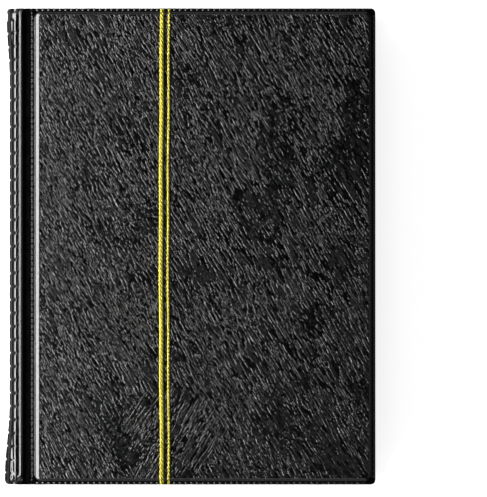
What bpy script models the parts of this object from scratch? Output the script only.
"""Coin album: two padded covers and a padded spine, with ten leaves of coin pockets bound to the spine.

Metres, +Z up. The album lies closed on its back cover, on a floor at z = 0. +Y is the head of the album, and
the spine is on the -X side. The covers fold on two hinge lines along Y, one at each edge of the spine.
"""

import math

import bmesh
import bpy
from mathutils import Matrix, Vector

# Overall size
WIDTH = 0.192
HEIGHT = 0.250
THICKNESS = 0.026
GAP = 0.0003  # clearance between pieces that touch

# Layers of a cover, from the outside in
SKIN = 0.0005
PADDING = 0.0010
BOARD = 0.0020
LINER = 0.0004
COVER = SKIN + PADDING + BOARD + LINER + 3 * GAP
FLANGE_DEPTH = COVER - LINER - GAP - SKIN  # from the cover's outer face to the welded rim's outer face

# Decorative cords on the front cover
CORD = 0.00025
CORD_RISE = CORD + 0.00025  # how far the cords stand above the front skin
WIDE_CORD = (-0.0160, 0.0025)  # centre in x, width
NARROW_CORD = (-0.0123, 0.0015)

# Outline of a cover
FLANGE = 0.0020  # width of the welded rim at head, foot and fore edge
SHOULDER = 0.0030  # width of the rounded edge of the padded panel
FORE_CORNER = 0.0025
HINGE_CORNER = 0.0003
PANEL_CORNER = 0.0030
CORNER_STEPS = 4
SHOULDER_STEPS = 4

# Hinge lines
HINGE_X = -WIDTH / 2 + 0.0088
BACK_HINGE_Z = COVER
FRONT_HINGE_Z = THICKNESS - COVER
COVER_WEB_START = HINGE_X + 0.0002
PANEL_START = HINGE_X + 0.0042  # where the covers' welded rim ends on the hinge side
SPINE_WEB_END = HINGE_X - 0.0017

# Spine
SPINE_MIDDLE_Z = THICKNESS / 2
SPINE_CENTRE_X = HINGE_X - 0.0035
SPINE_BULGE = SPINE_CENTRE_X + WIDTH / 2
SPINE_HALF_HEIGHT = 0.0106
SPINE_LINER_X = HINGE_X - 0.0013
SPINE_BOARD = 0.0010
SPINE_STEPS = 12

# Leaves: five with large pockets in the front half, five with small pockets in the back half
LEAVES = 10
FRONT_LEAVES = 5
BACKING = 0.0003
FILM = 0.0003
FILLED_POCKET = 0.0021  # thickness of the pocket layer where coins lie in it
LEAF_FORE_EDGE = WIDTH / 2 - 0.0035
LEAF_HALF_HEIGHT = HEIGHT / 2 - 0.0035
LEAF_CORNER = 0.0020
PIVOT_CLEARANCE = 0.0004
FILM_INSET = 0.0010
POCKETS_START = HINGE_X + 0.0140
POCKETS_END = WIDTH / 2 - 0.0060
POCKETS_HALF_HEIGHT = 0.1190
LARGE_GRID = (4, 5)  # columns, rows
SMALL_GRID = (5, 6)
WELD = 0.0010  # half the width of the weld between two pockets
SLOPE = 0.0020  # width over which a filled pocket rises
MOUTH = 0.0035  # height of a pocket's open mouth
BINDING_OFFSET = 0.0006
BINDING_TIP = HINGE_X + 0.0065
BINDING_END = 0.0006


def clear_scene():
    for item in list(bpy.data.objects):
        bpy.data.objects.remove(item, do_unlink=True)


def new_collection(name):
    collection = bpy.data.collections.new(name)
    bpy.context.scene.collection.children.link(collection)
    return collection


def plain_material(name, colour, roughness, metallic=0.0, alpha=1.0):
    material = bpy.data.materials.new(name)
    material.use_nodes = True
    shader = material.node_tree.nodes["Principled BSDF"]
    shader.inputs["Base Color"].default_value = (*colour, 1.0)
    shader.inputs["Roughness"].default_value = roughness
    shader.inputs["Metallic"].default_value = metallic
    shader.inputs["Alpha"].default_value = alpha
    material.diffuse_color = (*colour, alpha)
    return material


def make_materials():
    return {
        "vinyl": plain_material("cover_vinyl", (0.020, 0.020, 0.021), 0.34),
        "padding": plain_material("cover_padding", (0.70, 0.69, 0.66), 0.9),
        "board": plain_material("cover_board", (0.36, 0.30, 0.22), 0.85),
        "liner": plain_material("liner_vinyl", (0.045, 0.045, 0.052), 0.5),
        "cord": plain_material("gold_cord", (0.62, 0.52, 0.13), 0.35, metallic=0.6),
        "film": plain_material("clear_film", (0.85, 0.87, 0.90), 0.1, alpha=0.3),
        "leaf": plain_material("leaf_vinyl", (0.040, 0.040, 0.045), 0.45),
    }


def joint_axis(collection, name, x, z):
    """An empty on a hinge line, for the pieces that turn about it."""
    empty = bpy.data.objects.new(name, None)
    empty.location = (x, 0.0, z)
    empty.empty_display_size = 0.02
    collection.objects.link(empty)
    return empty


def place(collection, piece, material, axis=None):
    """Links a piece made in world coordinates, and parents it to its joint's axis."""
    piece.data.materials.append(material)
    collection.objects.link(piece)
    if axis:
        piece.parent = axis
        piece.matrix_parent_inverse = Matrix.Translation(-axis.location)
    return piece


def rounded_outline(low, high, corners):
    """Points of a rectangle with rounded corners, anticlockwise from the fore edge's foot.

    corners holds the radii of the fore-edge corners and of the hinge-side corners.
    """
    fore, hinge = corners
    centres = [
        (high.x - fore, low.y + fore, fore, -90),
        (high.x - fore, high.y - fore, fore, 0),
        (low.x + hinge, high.y - hinge, hinge, 90),
        (low.x + hinge, low.y + hinge, hinge, 180),
    ]
    points = []
    for x, y, radius, start in centres:
        for step in range(CORNER_STEPS + 1):
            angle = math.radians(start + 90 * step / CORNER_STEPS)
            points.append((x + radius * math.cos(angle), y + radius * math.sin(angle)))
    return points


def flat_piece(name, outline, bottom, top):
    """A plate of the given outline between two heights."""
    curve = bpy.data.curves.new(name, "CURVE")
    curve.dimensions = "2D"
    curve.fill_mode = "BOTH"
    curve.extrude = (top - bottom) / 2
    spline = curve.splines.new("POLY")
    spline.points.add(len(outline) - 1)
    for point, (x, y) in zip(spline.points, outline):
        point.co = (x, y, 0.0, 1.0)
    spline.use_cyclic_u = True
    piece = bpy.data.objects.new(name, curve)
    piece.location.z = (top + bottom) / 2
    return piece


def mesh_piece(name, shape):
    mesh = bpy.data.meshes.new(name)
    shape.to_mesh(mesh)
    shape.free()
    return bpy.data.objects.new(name, mesh)


def solidify(piece, thickness):
    """Gives an open surface its thickness, on the side away from its normals."""
    modifier = piece.modifiers.new("thickness", "SOLIDIFY")
    modifier.thickness = thickness
    modifier.offset = -1.0
    modifier.use_even_offset = True


def sheet_along_y(name, profile, half_length, thickness):
    """A bent sheet: a profile in XZ run along Y, thickened on its right-hand side."""
    shape = bmesh.new()
    foot = [shape.verts.new((x, -half_length, z)) for x, z in profile]
    head = [shape.verts.new((x, half_length, z)) for x, z in profile]
    for k in range(len(profile) - 1):
        shape.faces.new((foot[k], foot[k + 1], head[k + 1], head[k]))
    piece = mesh_piece(name, shape)
    solidify(piece, thickness)
    piece.data.shade_smooth()
    piece.data.set_sharp_from_angle(angle=math.radians(40))
    return piece


def bar_along_y(name, section, half_length):
    """A solid bar of the given XZ section along Y. The section runs clockwise, seen from the foot."""
    shape = bmesh.new()
    foot = [shape.verts.new((x, -half_length, z)) for x, z in section]
    face = shape.faces.new(foot)
    extruded = bmesh.ops.extrude_face_region(shape, geom=[face])
    moved = [item for item in extruded["geom"] if isinstance(item, bmesh.types.BMVert)]
    bmesh.ops.translate(shape, verts=moved, vec=Vector((0.0, 2 * half_length, 0.0)))
    bmesh.ops.recalc_face_normals(shape, faces=shape.faces)
    return mesh_piece(name, shape)


class Cover:
    """Heights of one cover's layers, measured from its outer face inwards."""

    def __init__(self, name, outer_face, inward):
        self.name = name
        self.outer_face = outer_face
        self.inward = inward

    def height(self, depth):
        return self.outer_face + self.inward * depth

    def layer(self, start, thickness):
        ends = (self.height(start), self.height(start + thickness))
        return min(ends), max(ends)


def panel_outline(inset):
    """The padded panel's outline, inset from the inner edge of the welded rim."""
    low = Vector((PANEL_START + inset, -HEIGHT / 2 + FLANGE + inset))
    high = Vector((WIDTH / 2 - FLANGE - inset, HEIGHT / 2 - FLANGE - inset))
    radius = max(PANEL_CORNER - inset * 0.5, 0.001)
    return rounded_outline(low, high, (radius, radius))


def cover_skin(cover):
    """The outer vinyl: a welded rim, a rounded shoulder, and the padded panel."""
    low = Vector((COVER_WEB_START, -HEIGHT / 2))
    high = Vector((WIDTH / 2, HEIGHT / 2))
    rings = [(rounded_outline(low, high, (FORE_CORNER, HINGE_CORNER)), FLANGE_DEPTH)]
    for step in range(SHOULDER_STEPS + 1):
        turn = math.radians(90 * step / SHOULDER_STEPS)
        inset = SHOULDER * (1 - math.cos(turn))
        rings.append((panel_outline(inset), FLANGE_DEPTH * (1 - math.sin(turn))))
    shape = bmesh.new()
    loops = [[shape.verts.new((x, y, cover.height(depth))) for x, y in ring] for ring, depth in rings]
    for outer, inner in zip(loops, loops[1:]):
        for k in range(len(outer)):
            after = (k + 1) % len(outer)
            shape.faces.new((outer[k], outer[after], inner[after], inner[k]))
    shape.faces.new(loops[-1])
    if cover.inward > 0:
        bmesh.ops.reverse_faces(shape, faces=shape.faces)
    piece = mesh_piece(cover.name + "_skin", shape)
    solidify(piece, SKIN)
    piece.data.shade_smooth()
    piece.data.set_sharp_from_angle(angle=math.radians(40))
    return piece


def cover_liner(cover):
    """The inner vinyl, welded to the skin's rim all round."""
    low = Vector((COVER_WEB_START, -HEIGHT / 2))
    high = Vector((WIDTH / 2, HEIGHT / 2))
    outline = rounded_outline(low, high, (FORE_CORNER, HINGE_CORNER))
    return flat_piece(cover.name + "_liner", outline, *cover.layer(COVER - LINER, LINER))


def make_cover(collection, materials, cover, axis=None):
    place(collection, cover_skin(cover), materials["vinyl"], axis)
    padding = flat_piece(
        cover.name + "_padding", panel_outline(0.0025), *cover.layer(SKIN + GAP, PADDING)
    )
    place(collection, padding, materials["padding"], axis)
    board = flat_piece(
        cover.name + "_board",
        panel_outline(0.0014),
        *cover.layer(SKIN + PADDING + 2 * GAP, BOARD),
    )
    place(collection, board, materials["board"], axis)
    place(collection, cover_liner(cover), materials["liner"], axis)


def spine_arc(inset, reach=90):
    """The rounded outside of the spine, from its lower edge to its upper edge, as (x, z).

    reach is how many degrees of the rounding are taken on each side of its middle.
    """
    points = []
    for step in range(SPINE_STEPS + 1):
        turn = math.radians(reach * (2 * step / SPINE_STEPS - 1))
        x = SPINE_CENTRE_X - (SPINE_BULGE - inset) * math.cos(turn)
        z = SPINE_MIDDLE_Z + (SPINE_HALF_HEIGHT - inset) * math.sin(turn)
        points.append((x, z))
    return points


def make_spine(collection, materials, axis):
    back_web_z = FLANGE_DEPTH
    front_web_z = THICKNESS - CORD_RISE - FLANGE_DEPTH
    web_x = SPINE_CENTRE_X + 0.0006
    profile = [(SPINE_WEB_END, back_web_z), (web_x, back_web_z)]
    profile += spine_arc(0.0)
    profile += [(web_x, front_web_z), (SPINE_WEB_END, front_web_z)]
    skin = sheet_along_y("spine_skin", profile, HEIGHT / 2, SKIN)
    place(collection, skin, materials["vinyl"], axis)
    padding = bar_along_y("spine_padding", spine_arc(SKIN + GAP, 78), HEIGHT / 2 - 0.0030)
    place(collection, padding, materials["padding"], axis)
    strip_low = BACK_HINGE_Z + 0.0004
    strip_high = FRONT_HINGE_Z - 0.0004
    board_x = SPINE_LINER_X - LINER - GAP
    board = upright_strip("spine_board", board_x, SPINE_BOARD, strip_low, strip_high, HEIGHT / 2 - 0.0025)
    place(collection, board, materials["board"], axis)
    liner = upright_strip("spine_liner", SPINE_LINER_X, LINER, strip_low, strip_high, HEIGHT / 2 - 0.0010)
    place(collection, liner, materials["liner"], axis)


def upright_strip(name, inner_x, thickness, low, high, half_length):
    """A strip standing on edge along the spine, its inner face at inner_x."""
    outer_x = inner_x - thickness
    section = [(inner_x, low), (outer_x, low), (outer_x, high), (inner_x, high)]
    return bar_along_y(name, section, half_length)


def make_binding(collection, materials, axis):
    """The bar that holds the leaves' inner edges: an arrowhead, clear of every leaf's hinge line."""
    offset = BINDING_OFFSET * math.sqrt(2)
    low = BACK_HINGE_Z + BINDING_END
    high = FRONT_HINGE_Z - BINDING_END
    inner_x = SPINE_LINER_X + GAP
    tip_low = BACK_HINGE_Z + (BINDING_TIP - HINGE_X) + offset
    tip_high = FRONT_HINGE_Z - (BINDING_TIP - HINGE_X) - offset
    flank_x = HINGE_X + BINDING_END - offset
    section = [
        (flank_x, low),
        (inner_x, low),
        (inner_x, high),
        (flank_x, high),
        (BINDING_TIP, tip_high),
        (BINDING_TIP, tip_low),
    ]
    binding = bar_along_y("page_binding", section, LEAF_HALF_HEIGHT - 0.0005)
    place(collection, binding, materials["liner"], axis)


def ribbon(name, centre, width, front_face):
    """A flat cord that runs from foot to head over the front panel and down both shoulders."""
    rim = front_face - FLANGE_DEPTH + CORD_RISE
    top = front_face + CORD_RISE
    end = HEIGHT / 2 - 0.0004
    corner = HEIGHT / 2 - FLANGE
    path = [(end, rim), (corner + 0.0002, rim)]
    for step in range(1, SHOULDER_STEPS + 1):
        turn = math.radians(90 * step / SHOULDER_STEPS)
        y = corner - SHOULDER * (1 - math.cos(turn)) + CORD_RISE * math.cos(turn)
        path.append((y, rim + (top - rim) * math.sin(turn)))
    route = [(-y, z) for y, z in path] + [(y, z) for y, z in reversed(path)]
    shape = bmesh.new()
    left = [shape.verts.new((centre - width / 2, y, z)) for y, z in route]
    right = [shape.verts.new((centre + width / 2, y, z)) for y, z in route]
    for k in range(len(route) - 1):
        shape.faces.new((left[k], right[k], right[k + 1], left[k + 1]))
    piece = mesh_piece(name, shape)
    solidify(piece, CORD)
    return piece


class Leaf:
    """Where one leaf lies, and the hinge line at its inner edge.

    Hinge lines of the back half stand on a 45 degree line from the back hinge, and those of the front half on
    one from the front hinge, so that every leaf keeps its height when the album lies open.
    """

    def __init__(self, number, low, thickness):
        self.number = number
        self.front_half = number <= FRONT_LEAVES
        self.filled = number in (FRONT_LEAVES, FRONT_LEAVES + 1)
        self.low = low
        self.high = low + thickness
        if self.front_half:
            self.pivot_z = self.high - BACKING / 2
            self.pivot_x = HINGE_X + FRONT_HINGE_Z - self.pivot_z
        else:
            self.pivot_z = self.low + BACKING / 2
            self.pivot_x = HINGE_X + self.pivot_z - BACK_HINGE_Z

    def outline(self, inset):
        low = Vector((self.pivot_x + PIVOT_CLEARANCE + inset, -LEAF_HALF_HEIGHT))
        high = Vector((LEAF_FORE_EDGE, LEAF_HALF_HEIGHT))
        return rounded_outline(low, high, (LEAF_CORNER, LEAF_CORNER / 2))


def stack_leaves():
    """The leaves from the back cover up: leaf 10 first, leaf 1 against the front cover."""
    leaves = []
    low = COVER + GAP
    for number in range(LEAVES, 0, -1):
        filled = number in (FRONT_LEAVES, FRONT_LEAVES + 1)
        thickness = BACKING + GAP + (FILLED_POCKET if filled else FILM)
        leaves.append(Leaf(number, low, thickness))
        low += thickness + GAP
    return leaves


def pocket_lines(start, end, count, filled, mouth=0.0):
    """Grid lines along a row of pockets, as (place, raised, opens).

    A filled pocket rises over a slope at each edge. opens marks the line where a pocket's opening begins: the
    whole width of the pocket across a row, and the mouth at its head along a column.
    """
    pitch = (end - start) / count
    lines = []
    for k in range(count):
        low = start + k * pitch + WELD
        high = start + (k + 1) * pitch - WELD
        if filled:
            lines.append((low, False, False))
            low += SLOPE
        if mouth:
            lines += [(low, True, False), (high - mouth, True, True), (high, False, False)]
        elif filled:
            lines += [(low, True, True), (high - SLOPE, True, False), (high, False, False)]
        else:
            lines += [(low, True, True), (high, True, False)]
    return lines


def pocket_film(leaf):
    """The clear film of one leaf. Each pocket is open along its mouth, at its head end."""
    columns, rows = LARGE_GRID if leaf.front_half else SMALL_GRID
    xs = [(leaf.pivot_x + PIVOT_CLEARANCE + FILM_INSET, False, False)]
    xs += pocket_lines(POCKETS_START, POCKETS_END, columns, leaf.filled)
    xs.append((LEAF_FORE_EDGE, False, False))
    ys = [(-LEAF_HALF_HEIGHT, False, False)]
    ys += pocket_lines(-POCKETS_HALF_HEIGHT, POCKETS_HALF_HEIGHT, rows, leaf.filled, MOUTH)
    ys.append((LEAF_HALF_HEIGHT, False, False))
    outward = -1 if leaf.front_half else 1
    inner_face = leaf.high - BACKING - GAP if leaf.front_half else leaf.low + BACKING + GAP
    rise = FILLED_POCKET - FILM if leaf.filled else 0.0
    shape = bmesh.new()
    bmesh.ops.create_grid(shape, x_segments=len(xs) - 1, y_segments=len(ys) - 1, size=0.5)
    for vert in shape.verts:
        j, i = divmod(vert.index, len(xs))
        lift = rise if xs[i][1] and ys[j][1] else 0.0
        vert.co = (xs[i][0], ys[j][0], inner_face + outward * (FILM + lift))
    mouths = []
    for face in shape.faces:
        j, i = divmod(min(vert.index for vert in face.verts), len(xs))
        if xs[i][2] and ys[j][2]:
            mouths.append(face)
    bmesh.ops.delete(shape, geom=mouths, context="FACES_ONLY")
    if outward < 0:
        bmesh.ops.reverse_faces(shape, faces=shape.faces)
    piece = mesh_piece(f"sheet_{leaf.number:02d}_pockets", shape)
    solidify(piece, FILM)
    return piece


def make_leaf(collection, materials, leaf):
    axis = joint_axis(collection, f"sheet_{leaf.number:02d}_axis", leaf.pivot_x, leaf.pivot_z)
    if leaf.front_half:
        bottom, top = leaf.high - BACKING, leaf.high
    else:
        bottom, top = leaf.low, leaf.low + BACKING
    backing = flat_piece(f"sheet_{leaf.number:02d}_backing", leaf.outline(0.0), bottom, top)
    place(collection, backing, materials["leaf"], axis)
    place(collection, pocket_film(leaf), materials["film"], axis)


def main():
    clear_scene()
    album = new_collection("coin_album")
    materials = make_materials()
    spine_axis = joint_axis(album, "spine_axis", HINGE_X, BACK_HINGE_Z)
    front_axis = joint_axis(album, "front_cover_axis", HINGE_X, FRONT_HINGE_Z)
    back = Cover("back_cover", 0.0, 1)
    front = Cover("front_cover", THICKNESS - CORD_RISE, -1)
    make_cover(album, materials, back)
    make_cover(album, materials, front, front_axis)
    for name, (centre, width) in {"gold_cord_wide": WIDE_CORD, "gold_cord_narrow": NARROW_CORD}.items():
        place(album, ribbon(name, centre, width, front.outer_face), materials["cord"], front_axis)
    make_spine(album, materials, spine_axis)
    make_binding(album, materials, spine_axis)
    for leaf in stack_leaves():
        make_leaf(album, materials, leaf)


main()
